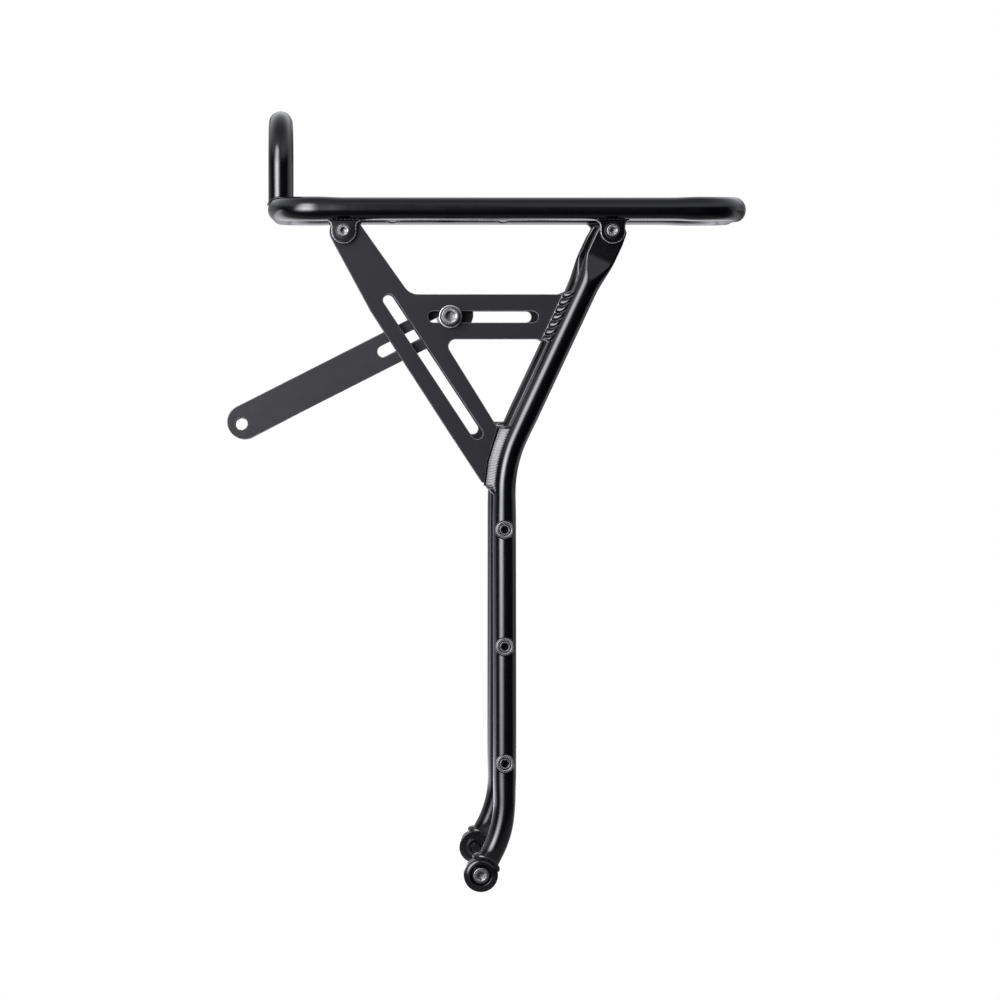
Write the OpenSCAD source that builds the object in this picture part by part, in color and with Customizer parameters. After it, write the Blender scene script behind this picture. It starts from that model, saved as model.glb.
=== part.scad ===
// Rear bicycle rack: a tube deck with an upright front hoop, a bent leg and a
// slotted plate on each side, and a flat stay on each side that is clamped to the
// plate by one screw and can slide and swivel when the screw is slack.
//
// Frame: the origin is on the axis of the two foot screws, midway between them.
// +X is the rear of the bicycle, +Y its right-hand side and +Z is up.
// Each side frame is flat and leans outwards going down. It is modelled upright,
// with x to the rear, y outwards and z up along the leg, and then leant over.

/* [Tubes] */
// Outside diameter of the deck, front hoop and leg tubes
tube_d = 12.7; // [12:0.1:14]
// Wall thickness of all tubes
tube_wall = 1.5; // [1:0.1:2]

/* [Deck] */
// Outside length of the deck hoop
deck_length = 264.7; // [250:0.1:300]
// Distance from the foot axis forward to the outside of the deck
deck_front = 117; // [110:0.5:130]
// Distance between the centrelines of the two side rails
rail_spacing = 128; // [120:1:150]
// Height of the rails' centreline above the foot axis
rail_z = 364.5; // [362:0.5:370]
// Centreline radius of the deck's corners
deck_corner_r = 22; // [18:1:40]
// Diameter of the tubes across the deck
cross_tube_d = 10; // [8:0.5:12]

/* [Front hoop] */
// Distance between the centrelines of the hoop's two uprights
hoop_spacing = 80; // [60:1:84]
// Height of the hoop's highest point above the foot axis
hoop_top_z = 420; // [410:0.1:440]
// Centreline radius of the hoop's bends
hoop_bend_r = 25; // [18:1:30]

/* [Legs] */
// Distance between the middles of the two foot bosses
foot_spacing = 154; // [140:1:160]
// How far the straight part of the leg is behind the foot axis
leg_x = 13.2; // [8:0.1:20]
// Height where the lower bend's two straight lines meet
foot_bend_z = 25.5; // [24:0.5:40]
// Centreline radius of the lower bend
foot_bend_r = 60; // [40:1:65]
// Height where the upper bend's two straight lines meet
upper_bend_z = 225.5; // [215:0.5:235]
// Centreline radius of the upper bend
upper_bend_r = 74; // [60:1:90]
// Width of the leg's flattened top end
flat_w = 16.5; // [15:0.1:17]
// Height of the middle threaded boss above the foot axis
boss_z = 124.7; // [110:0.1:140]
// Distance from one threaded boss to the next
boss_pitch = 64; // [50:1:70]

/* [Feet] */
// Outside diameter of the foot boss
foot_d = 18.8; // [16:0.1:22]
// Width of the foot boss
foot_w = 10; // [9:0.5:12]

/* [Deck tabs] */
// Place of the front tab screw along the bicycle
tab_front_x = -74.8; // [-76:0.1:-73]
// Place of the rear tab screw along the bicycle
tab_rear_x = 72.7; // [70:0.1:76]
// Height of the tab screws above the foot axis
tab_z = 352.1; // [350:0.1:353]
// Radius of a tab's lower end
tab_r = 6.9; // [6:0.1:8]

/* [Side plates] */
// Thickness of the side plate, of the tabs and of the leg's flat end
plate_t = 4; // [3:0.5:5]
// Width of all three slots
slot_w = 6.4; // [6.3:0.1:7]
// Height of the level slot's centreline
slot_z = 305.7; // [304:0.1:307]
// Front end of the level slot
slot_front_x = -28.6; // [-30:0.1:-27]
// Rear end of the level slot
slot_rear_x = 31.8; // [30:0.1:33]

/* [Stays] */
// Width of the flat stay
stay_w = 18.8; // [16:0.1:20]
// Thickness of the flat stay
stay_t = 3; // [2.5:0.5:4]
// Hole in the stay's outer end
stay_hole_d = 7; // [5.5:0.1:8]
// From the end hole to the nearer end of the stay's slot, centre to centre
stay_slot_near = 87.5; // [80:0.5:95]
// From the end hole to the farther end of the stay's slot, centre to centre
stay_slot_far = 132.6; // [131:0.1:140]
// How far the centre of the stay's rounded end lies short of its hole
stay_end_step = 1.9; // [0:0.1:4]
// Length of the spacer that keeps the stay clear of the leg
spacer_length = 4.7; // [4.7:0.1:6]
// Where the clamp screw stands along the bicycle
clamp_x = -16.4; // [-25:0.1:28]
// Clamp screw to end hole, left and right stay
stay_reach = [128.8, 132.2];
// Slope of the left and right stay below the level
stay_slope = [26.9, 27.5];

/* [Hidden] */
$fn = 48;

LEFT = -1;
RIGHT = 1;
tube_r = tube_d / 2;
bore_r = tube_r - tube_wall;
// A leg's bends are a hair thinner than its straight runs and lap into their ends
seam = 0.02;
lap = 0.2;

// Deck
deck_x0 = tube_r - deck_front;
deck_x1 = deck_length - deck_front - tube_r;
rail_y = rail_spacing / 2;
cross_pitch = (deck_x1 - deck_x0) / 4;
hoop_z = hoop_top_z - tube_r;
hoop_x = deck_x0 + 0.5;
hoop_y = hoop_spacing / 2;

// Side frame, in its own upright frame
foot_y = foot_spacing / 2;
half_t = plate_t / 2;
tab_axis_y = rail_y - plate_t;
lean = atan2(foot_y - tab_axis_y, tab_z);
tab_h = tab_z / cos(lean);
foot_slope = atan2(leg_x, foot_bend_z);
foot_bend_run = foot_bend_r * tan(foot_slope / 2);
upper_slope = atan2(tab_rear_x - leg_x, tab_h - upper_bend_z);
upper_bend_run = upper_bend_r * tan(upper_slope / 2);
upper_length = (tab_h - upper_bend_z) / cos(upper_slope);
flat_end_r = 7.8;
flat_length = 14;
crush_length = 20;

// Screws: shank radius, head radius, head height
m4 = [2, 3.5, 4];
m5 = [2.5, 4.25, 5];
m6 = [3, 5, 6];
shoulder_step = 0.2;
tab_hole_r = 2.25;
foot_hole_r = 2.75;
foot_rim_r = 8;
foot_rim_depth = 0.8;
foot_seat_r = 5.75;
foot_seat_depth = 2;
foot_screw_length = 16;
boss_flange_r = 5.35;
boss_ring_r = 4.15;
boss_core_r = 2.1;
boss_depth = 9.6;
boss_top_y = tube_r + 1.7;
tab_washer_t = 0.8;
tab_screw_length = 12;
tab_nut_t = 3.2;
rail_gap = 0.3;
clamp_washer_t = 1.6;
inner_washer_t = 1.2;
clamp_nut_t = 6;
clamp_screw_length = 22;
stay_face_y = -half_t - spacer_length;

// Side plate outline: x, z and corner radius of each point, clockwise from its front end
plate_end_r = 7.9;
bar_top = 318.05;
bar_bottom = 293.4;
weld_gap = 10.7;
plate_outline = [
    [tab_front_x - 6.9, 349, 0],
    [-80.6, 346.6, 3],
    [-60.2, 308.8, 12],
    [-15.9, 240.2, 0],
    [2.0, 212.9, 1],
    [2.7, 217.5, 0],
    [3.7, 226.2, 0],
    [6.2, 234.6, 0],
    [9.4, 245.0, 1.5],
    [-20.6, bar_bottom, 4],
    [33.2, bar_bottom, 0.8],
    [axis_x(bar_top) - weld_gap / cos(upper_slope), bar_top, 0.8],
    [-38.6, bar_top, 9],
    [tab_front_x + 7.7, tab_h + 5.9, 1]
];
diagonal_slot = [[-50.1, 315.0], [-1.8, 241.7]];

// x of the leg's upper centreline at height z
function axis_x(z) = leg_x + (z - upper_bend_z) * tan(upper_slope);

function unit(v) = v / norm(v);

// Points of the arc that rounds corner b, between neighbours a and c, to radius b[2]
function corner(a, b, c) =
    let (
        p = [b[0], b[1]],
        u = unit([a[0], a[1]] - p),
        v = unit([c[0], c[1]] - p),
        half = acos(u * v) / 2,
        run = b[2] / tan(half),
        middle = p + unit(u + v) * b[2] / sin(half),
        start = p + u * run - middle,
        finish = p + v * run - middle,
        turn = 180 - 2 * half,
        sense = sign(start[0] * finish[1] - start[1] * finish[0]),
        steps = max(2, ceil(turn / 12))
    )
    [for (i = [0 : steps])
        let (t = sense * turn * i / steps)
        middle + [
            start[0] * cos(t) - start[1] * sin(t),
            start[0] * sin(t) + start[1] * cos(t)
        ]];

// A closed outline with each corner rounded to its own radius
function rounded(points) =
    let (n = len(points))
    [for (i = [0 : n - 1])
        let (b = points[i])
        each b[2] == 0
            ? [[b[0], b[1]]]
            : corner(points[(i + n - 1) % n], b, points[(i + 1) % n])];

// Leans an upright side frame over and puts it on the left or right
module on_side(side) {
    mirror([0, side == LEFT ? 1 : 0, 0])
        translate([0, foot_y, 0])
            rotate([lean, 0, 0])
                children();
}

// A flat shape drawn in x and z, from y0 to y1
module slab(y0, y1) {
    translate([0, y1, 0])
        rotate([90, 0, 0])
            linear_extrude(y1 - y0)
                children();
}

// A round bar along y at x, z
module pin(x, z, y0, y1, r) {
    translate([x, y0, z])
        rotate([-90, 0, 0])
            cylinder(h = y1 - y0, r = r);
}

// A hexagonal bar along y at x, z
module hex_bar(x, z, y0, y1, flats) {
    translate([x, y0, z])
        rotate([-90, 0, 0])
            cylinder(h = y1 - y0, r = flats / 2 / cos(30), $fn = 6);
}

// Outline of a slot with round ends about two points
function slot_outline(a, b, width) =
    let (
        run = b - a,
        aim = atan2(run[1], run[0]),
        steps = 12
    )
    [for (end = [[b, aim - 90], [a, aim + 90]], i = [0 : steps])
        end[0] + width / 2 * [
            cos(end[1] + 180 * i / steps),
            sin(end[1] + 180 * i / steps)
        ]];

// A slot between two points, cut through from y0 to y1
module slot_cut(a, b, width, y0, y1) {
    slab(y0, y1)
        polygon(slot_outline(a, b, width));
}

module ring(r_out, r_in) {
    difference() {
        circle(r = r_out);
        if (r_in > 0)
            circle(r = r_in);
    }
}

// A straight tube in the x-z plane from p, leaning by slope from the vertical
module straight_tube(p, slope, length, r_in) {
    translate([p[0], 0, p[1]])
        rotate([0, slope, 0])
            linear_extrude(length)
                ring(tube_r, r_in);
}

// A bend in the x-z plane about c, from angle a0 to a1 measured from +x
module bent_tube(c, bend_r, a0, a1, r_in) {
    lap_angle = lap / bend_r * 180 / PI;
    translate([c[0], 0, c[1]])
        rotate([90, 0, 0])
            rotate([0, 0, a0 - lap_angle])
                rotate_extrude(angle = a1 - a0 + 2 * lap_angle)
                    translate([bend_r, 0])
                        ring(tube_r - seam, r_in > 0 ? r_in + seam : 0);
}

// ---- Deck ----

// A closed hoop: a side rail and two corners on each side, and two end tubes
module deck_hoop() {
    run_x = deck_x1 - deck_x0 - 2 * deck_corner_r;
    run_y = 2 * (rail_y - deck_corner_r);
    color([0.09, 0.09, 0.1])
        translate([0, 0, rail_z]) {
            for (side = [LEFT, RIGHT]) {
                translate([deck_x0 + deck_corner_r, side * rail_y, 0])
                    rotate([0, 90, 0])
                        linear_extrude(run_x)
                            ring(tube_r, bore_r);
                for (end = [[deck_x0, 1], [deck_x1, -1]])
                    translate([end[0] + end[1] * deck_corner_r, side * run_y / 2, 0])
                        mirror([end[1] > 0 ? 1 : 0, 0, 0])
                            mirror([0, side == LEFT ? 1 : 0, 0])
                                rotate_extrude(angle = 90)
                                    translate([deck_corner_r, 0])
                                        ring(tube_r, bore_r);
            }
            for (x = [deck_x0, deck_x1])
                translate([x, run_y / 2, 0])
                    rotate([90, 0, 0])
                        linear_extrude(run_y)
                            ring(tube_r, bore_r);
        }
}

module front_hoop() {
    upright = hoop_z - hoop_bend_r - rail_z;
    top = hoop_spacing - 2 * hoop_bend_r;
    color([0.09, 0.09, 0.1])
        translate([hoop_x, 0, 0])
            difference() {
                union() {
                    for (side = [LEFT, RIGHT]) {
                        translate([0, side * hoop_y, rail_z])
                            linear_extrude(upright)
                                ring(tube_r, bore_r);
                        translate([0, side * (hoop_y - hoop_bend_r), hoop_z - hoop_bend_r])
                            mirror([0, side == LEFT ? 1 : 0, 0])
                                rotate([0, -90, 0])
                                    rotate_extrude(angle = 90)
                                        translate([hoop_bend_r, 0])
                                            ring(tube_r, bore_r);
                    }
                    translate([0, top / 2, hoop_z])
                        rotate([90, 0, 0])
                            linear_extrude(top)
                                ring(tube_r, bore_r);
                }
                translate([deck_x0 - hoop_x, 0, rail_z])
                    pin(0, 0, -hoop_y - 2 * tube_r, hoop_y + 2 * tube_r, tube_r);
            }
}

module cross_tube(number) {
    color([0.09, 0.09, 0.1])
        difference() {
            translate([deck_x0 + number * cross_pitch, rail_y, rail_z])
                rotate([90, 0, 0])
                    linear_extrude(rail_spacing)
                        ring(cross_tube_d / 2, cross_tube_d / 2 - tube_wall);
            rail_bars();
        }
}

// The two side rails as solid bars, for shaping what is welded to them or stands
// just below them
module rail_bars(gap = 0) {
    for (side = [LEFT, RIGHT])
        translate([deck_x0, side * rail_y, rail_z])
            rotate([0, 90, 0])
                cylinder(h = deck_length, r = tube_r + gap);
}

module deck_tabs() {
    color([0.09, 0.09, 0.1])
        difference() {
            for (side = [LEFT, RIGHT], x = [tab_front_x, tab_rear_x])
                on_side(side)
                    difference() {
                        slab(half_t, half_t + plate_t)
                            translate([x, tab_h]) {
                                circle(r = tab_r);
                                translate([-tab_r, 0])
                                    square([2 * tab_r, rail_z - tab_z]);
                            }
                        pin(x, tab_h, half_t - 1, half_t + plate_t + 1, tab_hole_r);
                    }
            rail_bars();
        }
}

// A cap screw along y: its head stands outwards from the seat, and a shoulder, if it
// has one, is slightly thicker than the rest of the shank
module cap_screw(x, z, seat_y, length, size, socket, shoulder = 0) {
    color([0.8, 0.8, 0.8])
        difference() {
            union() {
                pin(x, z, seat_y - length, seat_y + size[2] / 2, size[0]);
                pin(x, z, seat_y, seat_y + size[2], size[1]);
                if (shoulder > 0)
                    pin(x, z, seat_y - shoulder, seat_y + size[2] / 2, size[0] + shoulder_step);
            }
            hex_bar(x, z, seat_y + size[2] / 2, seat_y + size[2] + 1, socket);
        }
}

module washer(x, z, y0, y1, r_out, r_in) {
    difference() {
        pin(x, z, y0, y1, r_out);
        pin(x, z, y0 - 1, y1 + 1, r_in);
    }
}

module nut(x, z, y0, y1, flats, r_in) {
    color([0.75, 0.75, 0.75])
        difference() {
            hex_bar(x, z, y0, y1, flats);
            pin(x, z, y0 - 1, y1 + 1, r_in);
        }
}

module tab_screws() {
    for (side = [LEFT, RIGHT], x = [tab_front_x, tab_rear_x])
        on_side(side)
            cap_screw(x, tab_h, half_t + plate_t + tab_washer_t, tab_screw_length, m4, 3);
}

module tab_washers() {
    face_y = half_t + plate_t;
    color([0.1, 0.1, 0.1])
        for (side = [LEFT, RIGHT], x = [tab_front_x, tab_rear_x])
            on_side(side)
                washer(x, tab_h, face_y, face_y + tab_washer_t, 4.5, m4[0] + 0.15);
}

module tab_nuts() {
    for (side = [LEFT, RIGHT], x = [tab_front_x, tab_rear_x])
        on_side(side)
            nut(x, tab_h, -half_t - tab_nut_t, -half_t, 7, m4[0]);
}

// ---- Side frames ----

// The leg's bends and straight runs; solid where r_in is 0
module lower_leg(r_in) {
    straight_tube([0, 0], foot_slope, foot_bend_z / cos(foot_slope) - foot_bend_run, r_in);
    bent_tube([leg_x - foot_bend_r, foot_bend_z + foot_bend_run], foot_bend_r, -foot_slope, 0,
              r_in);
}

module middle_leg(r_in) {
    start = foot_bend_z + foot_bend_run;
    straight_tube([leg_x, start], 0, upper_bend_z - upper_bend_run - start, r_in);
}

module upper_bend(r_in) {
    bent_tube([leg_x + upper_bend_r, upper_bend_z - upper_bend_run], upper_bend_r,
              180 - upper_slope, 180, r_in);
}

module upper_leg(r_in) {
    start = [leg_x, upper_bend_z] + upper_bend_run * [sin(upper_slope), cos(upper_slope)];
    straight_tube(start, upper_slope, upper_length - upper_bend_run - flat_length - crush_length,
                  r_in);
}

// The crushed and flattened top of the leg, with the hole for the tab screw
module flat_end() {
    edge_x = flat_w / 2 - half_t;
    translate([tab_rear_x, 0, tab_h])
        rotate([0, upper_slope, 0]) {
            hull() {
                translate([0, 0, -flat_length - crush_length - lap])
                    cylinder(h = 1.5 * lap, r = tube_r - seam, $fn = 32);
                for (x = [-edge_x, edge_x])
                    translate([x, 0, -flat_length])
                        cylinder(h = lap, r = half_t - seam, $fn = 32);
            }
            difference() {
                union() {
                    pin(0, 0, -half_t, half_t, flat_end_r);
                    for (x = [-edge_x, edge_x])
                        translate([x, 0, -flat_length])
                            cylinder(h = flat_length - 3, r = half_t);
                    translate([-edge_x, -half_t, -flat_length])
                        cube([2 * edge_x, plate_t, flat_length - 3]);
                }
                pin(0, 0, -half_t - 1, half_t + 1, tab_hole_r);
            }
        }
}

module leg(side) {
    color([0.09, 0.09, 0.1]) {
        difference() {
            on_side(side)
                lower_leg(bore_r);
            foot_bar(side, tube_d + 3);
        }
        on_side(side) {
            difference() {
                middle_leg(bore_r);
                for (i = [-1 : 1])
                    pin(leg_x, boss_z + i * boss_pitch, 0, tube_d, boss_ring_r);
            }
            upper_bend(bore_r);
            upper_leg(bore_r);
        }
        difference() {
            on_side(side)
                flat_end();
            rail_bars(rail_gap);
        }
    }
}

// A plain bar on the foot axis, as thick as the foot boss
module foot_bar(side, width) {
    translate([0, side * foot_y, 0])
        pin(0, 0, -width / 2, width / 2, foot_d / 2);
}

module foot_boss(side) {
    outer = foot_w / 2;
    color([0.09, 0.09, 0.1])
        mirror([0, side == LEFT ? 1 : 0, 0])
            translate([0, foot_y, 0])
                difference() {
                    union() {
                        pin(0, 0, -outer, outer - foot_rim_depth, foot_d / 2);
                        pin(0, 0, -outer, outer, foot_rim_r);
                    }
                    pin(0, 0, -outer - 1, outer + 1, foot_hole_r);
                    pin(0, 0, outer - foot_seat_depth, outer + 1, foot_seat_r);
                }
}

module foot_screws() {
    for (side = [LEFT, RIGHT])
        mirror([0, side == LEFT ? 1 : 0, 0])
            translate([0, foot_y, 0])
                cap_screw(0, 0, foot_w / 2 - foot_seat_depth, foot_screw_length, m5, 4,
                          foot_w - foot_seat_depth);
}

// Three threaded bosses let into the outer side of the leg
module leg_bosses(side) {
    color([0.12, 0.12, 0.13])
        on_side(side)
            for (i = [-1 : 1])
                difference() {
                    union() {
                        pin(leg_x, boss_z + i * boss_pitch, boss_top_y - boss_depth, boss_top_y,
                            boss_ring_r);
                        difference() {
                            pin(leg_x, boss_z + i * boss_pitch, bore_r, boss_top_y - 0.5,
                                boss_flange_r);
                            translate([leg_x, 0, boss_z + i * boss_pitch - boss_pitch / 2])
                                cylinder(h = boss_pitch, r = tube_r);
                        }
                    }
                    pin(leg_x, boss_z + i * boss_pitch, -tube_d, tube_d, boss_core_r);
                }
}

module side_plate(side) {
    color([0.22, 0.22, 0.24])
        difference() {
            on_side(side)
                difference() {
                    union() {
                        slab(-half_t, half_t)
                            polygon(rounded(plate_outline));
                        pin(tab_front_x, tab_h, -half_t, half_t, plate_end_r);
                    }
                    pin(tab_front_x, tab_h, -plate_t, plate_t, tab_hole_r);
                    slot_cut([slot_front_x + slot_w / 2, slot_z],
                             [slot_rear_x - slot_w / 2, slot_z], slot_w, -plate_t, plate_t);
                    slot_cut(diagonal_slot[0], diagonal_slot[1], slot_w, -plate_t, plate_t);
                }
            rail_bars(rail_gap);
        }
}

// Weld metal that fills the gap between the plate's edges and the leg
module plate_welds(side) {
    weld_half = half_t - 0.2;
    inside = tube_r / 2;
    color([0.3, 0.3, 0.32])
        on_side(side)
            difference() {
                slab(-weld_half, weld_half) {
                    polygon([
                        [axis_x(bar_bottom) - weld_gap / cos(upper_slope), bar_bottom],
                        [axis_x(bar_bottom) - inside, bar_bottom],
                        [axis_x(bar_top) - inside, bar_top],
                        [axis_x(bar_top) - weld_gap / cos(upper_slope), bar_top]
                    ]);
                    polygon([
                        for (i = [4 : 8]) [plate_outline[i][0] + 0.4, plate_outline[i][1]],
                        [axis_x(246) - inside, 246],
                        [leg_x - inside, upper_bend_z - upper_bend_run],
                        [leg_x - inside, 209]
                    ]);
                }
                middle_leg(0);
                upper_bend(0);
                upper_leg(0);
            }
}

// ---- Stays and their clamps ----

module clamp_screw(side) {
    on_side(side)
        cap_screw(clamp_x, slot_z, half_t + clamp_washer_t, clamp_screw_length, m6, 5);
}

module clamp_washer(side) {
    color([0.7, 0.7, 0.7])
        on_side(side)
            washer(clamp_x, slot_z, half_t, half_t + clamp_washer_t, 6.3, m6[0] + 0.2);
}

module stay_spacer(side) {
    color([0.12, 0.12, 0.13])
        on_side(side)
            washer(clamp_x, slot_z, stay_face_y, -half_t, 6, m6[0] + 0.05);
}

module stay_inner_washer(side) {
    color([0.7, 0.7, 0.7])
        on_side(side)
            washer(clamp_x, slot_z, stay_face_y - stay_t - inner_washer_t, stay_face_y - stay_t,
                   6.3, m6[0] + 0.2);
}

module clamp_nut(side) {
    inner = stay_face_y - stay_t - inner_washer_t;
    on_side(side)
        nut(clamp_x, slot_z, inner - clamp_nut_t, inner, 10, m6[0]);
}

// The stay, with x running from the clamp screw to the end hole
module stay(side) {
    reach = stay_reach[side == LEFT ? 0 : 1];
    slope = stay_slope[side == LEFT ? 0 : 1];
    inner_end = reach - stay_slot_far;
    y0 = stay_face_y - stay_t;
    color([0.22, 0.22, 0.24])
        on_side(side)
            translate([clamp_x, 0, slot_z])
                rotate([0, 180 - slope, 0])
                    difference() {
                        union() {
                            pin(reach - stay_end_step, 0, y0, stay_face_y, stay_w / 2);
                            pin(inner_end, 0, y0, stay_face_y, stay_w / 2);
                            translate([inner_end, y0, -stay_w / 2])
                                cube([stay_slot_far - stay_end_step, stay_t, stay_w]);
                        }
                        pin(reach, 0, y0 - 1, stay_face_y + 1, stay_hole_d / 2);
                        slot_cut([inner_end, 0], [reach - stay_slot_near, 0], slot_w,
                                 y0 - 1, stay_face_y + 1);
                    }
}

deck_hoop();
front_hoop();
cross_tube(1);  // cross_tube_front
cross_tube(2);  // cross_tube_middle
cross_tube(3);  // cross_tube_rear
deck_tabs();
tab_screws();
tab_washers();
tab_nuts();
leg(LEFT);  // leg_left
leg(RIGHT);  // leg_right
foot_boss(LEFT);  // foot_boss_left
foot_boss(RIGHT);  // foot_boss_right
foot_screws();
leg_bosses(LEFT);  // leg_bosses_left
leg_bosses(RIGHT);  // leg_bosses_right
side_plate(LEFT);  // side_plate_left
side_plate(RIGHT);  // side_plate_right
plate_welds(LEFT);  // plate_welds_left
plate_welds(RIGHT);  // plate_welds_right
clamp_screw(LEFT);  // clamp_screw_left
clamp_washer(LEFT);  // clamp_washer_left
clamp_nut(LEFT);  // clamp_nut_left
clamp_screw(RIGHT);  // clamp_screw_right
clamp_washer(RIGHT);  // clamp_washer_right
clamp_nut(RIGHT);  // clamp_nut_right
stay_spacer(LEFT);  // stay_spacer_left
stay_spacer(RIGHT);  // stay_spacer_right
stay(LEFT);  // stay_left
stay_inner_washer(LEFT);  // stay_inner_washer_left
stay(RIGHT);  // stay_right
stay_inner_washer(RIGHT);  // stay_inner_washer_right
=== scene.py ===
"""Looks of the rear rack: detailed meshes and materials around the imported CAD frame.

All shapes are worked out in millimetres in one of three frames and turned into metres
when their mesh is made: the shared frame itself, a leaning side frame (x to the rear, y
outwards, z up along the leg) and a foot frame (x to the rear, y outwards, z up).
"""

import math

import bmesh
import bpy
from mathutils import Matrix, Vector, geometry


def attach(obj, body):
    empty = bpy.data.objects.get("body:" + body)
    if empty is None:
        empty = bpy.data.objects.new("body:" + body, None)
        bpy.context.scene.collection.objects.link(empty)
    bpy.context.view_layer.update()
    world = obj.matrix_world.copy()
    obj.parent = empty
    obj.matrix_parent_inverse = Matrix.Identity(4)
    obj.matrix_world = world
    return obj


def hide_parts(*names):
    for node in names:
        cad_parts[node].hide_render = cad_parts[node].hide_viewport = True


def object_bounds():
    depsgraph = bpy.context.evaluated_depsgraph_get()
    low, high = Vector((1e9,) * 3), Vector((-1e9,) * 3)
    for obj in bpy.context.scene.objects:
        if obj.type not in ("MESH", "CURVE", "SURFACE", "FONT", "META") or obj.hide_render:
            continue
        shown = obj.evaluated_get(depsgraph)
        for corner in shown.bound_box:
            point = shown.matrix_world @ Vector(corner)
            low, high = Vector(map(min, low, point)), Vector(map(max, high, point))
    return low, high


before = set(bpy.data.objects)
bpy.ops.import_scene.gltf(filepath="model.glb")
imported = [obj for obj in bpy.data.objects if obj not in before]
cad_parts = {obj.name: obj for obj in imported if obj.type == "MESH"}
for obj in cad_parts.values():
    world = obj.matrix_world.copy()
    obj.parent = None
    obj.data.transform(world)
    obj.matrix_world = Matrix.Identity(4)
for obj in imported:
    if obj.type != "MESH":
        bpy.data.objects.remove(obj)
cad_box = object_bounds()

MM = 0.001
LEFT, RIGHT = -1, 1
SIDES = (("left", LEFT), ("right", RIGHT))

# ---- Sizes of the CAD part, in millimetres ----

TUBE_R = 6.35
RAIL_Y, RAIL_Z = 64.0, 364.5
DECK_X0, DECK_X1 = -110.65, 141.35
CORNER_R = 22.0
CROSS_R = 5.0
CROSS_X = (-47.65, 15.35, 78.35)
HOOP_X, HOOP_Y, HOOP_Z, HOOP_R = -110.15, 40.0, 413.65, 25.0
FOOT_Y = 77.0
LEG_X = 13.2
FOOT_BEND_Z, FOOT_BEND_R = 25.5, 60.0
UPPER_BEND_Z, UPPER_BEND_R = 225.5, 74.0
TAB_X = (-74.8, 72.7)
TAB_Z, TAB_R, TAB_HOLE_R = 352.1, 6.9, 2.25
TAB_INNER_Y, TAB_OUTER_Y = 2.0, 6.0
PLATE_HALF = 2.0
FLAT_HALF_W, FLAT_END_R = 8.25, 7.8
# Along the leg from its top hole: where it starts to flatten and to widen, over what length, and its end
CRUSH_START, CRUSH_LENGTH, WIDEN_START, WIDEN_LENGTH, LEG_END = 31.0, 16.0, 36.0, 22.0, 4.0
BOSS_Z, BOSS_PITCH = 124.7, 64.0
FOOT_R, FOOT_HALF, FOOT_SEAT = 9.4, 5.0, 3.0
SLOT_R, SLOT_Z = 3.2, 305.7
LEVEL_SLOT = ((-25.4, SLOT_Z), (28.6, SLOT_Z))
DIAGONAL_SLOT = ((-50.1, 315.0), (-1.8, 241.7))
PLATE_END_R = 7.9
BAR_TOP, BAR_BOTTOM, WELD_GAP = 318.05, 293.4, 10.7
CLAMP_X = -16.4
STAY_HALF_W, STAY_OUTER_Y, STAY_INNER_Y, STAY_HOLE_R = 9.4, -6.7, -9.7, 3.5
STAY_SLOT_NEAR, STAY_SLOT_FAR, STAY_END_STEP = 87.5, 132.6, 1.9
STAY_REACH = {"left": 128.8, "right": 132.2}
STAY_SLOPE = {"left": 26.9, "right": 27.5}

LEAN = math.atan2(FOOT_Y - 60.0, TAB_Z)
TAB_H = TAB_Z / math.cos(LEAN)
FOOT_SLOPE = math.atan2(LEG_X, FOOT_BEND_Z)
UPPER_SLOPE = math.atan2(TAB_X[1] - LEG_X, TAB_H - UPPER_BEND_Z)
UPPER_RUN = UPPER_BEND_R * math.tan(UPPER_SLOPE / 2)


# ---- Frames ----

def shared(p):
    """The shared frame: the origin is midway between the feet, on their screws' axis."""
    return Vector(p)


def leaning(side):
    """The side frame, which leans outwards going down, on the left or right."""
    c, s = math.cos(LEAN), math.sin(LEAN)
    return lambda p: Vector((p[0], side * (FOOT_Y + p[1] * c - p[2] * s), p[1] * s + p[2] * c))


def upright(side):
    """The foot frame: square to the bicycle, with y outwards from the foot's middle."""
    return lambda p: Vector((p[0], side * (FOOT_Y + p[1]), p[2]))


# ---- Small helpers ----

def smooth(t):
    t = max(0.0, min(1.0, t))
    return t * t * (3 - 2 * t)


def mix(a, b, t):
    return a + (b - a) * t


def angles(count, shift=0.0):
    """Evenly spaced angles once round."""
    return [2 * math.pi * (k + shift) / count for k in range(count)]


def level_curve(levels):
    """A smooth function through (place, level) pairs."""
    def at(w):
        for (w0, y0), (w1, y1) in zip(levels, levels[1:]):
            if w <= w1:
                return mix(y0, y1, smooth((w - w0) / (w1 - w0)))
        return levels[-1][1]
    return at


def scallop(t):
    """0 in the sharp valleys at whole numbers and 1 on the round humps between them."""
    f = t - math.floor(t)
    return 1 - (2 * f - 1) ** 2


BEND_FADE = 14.0  # a pressed tube is round again this far past a bend
ARC_END = 0.99  # how bent the two ends of an arc count as, between its 1 and a straight's 0
NO_POINTS = 1e9  # a pitch that leaves straight stretches without points of their own


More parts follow.
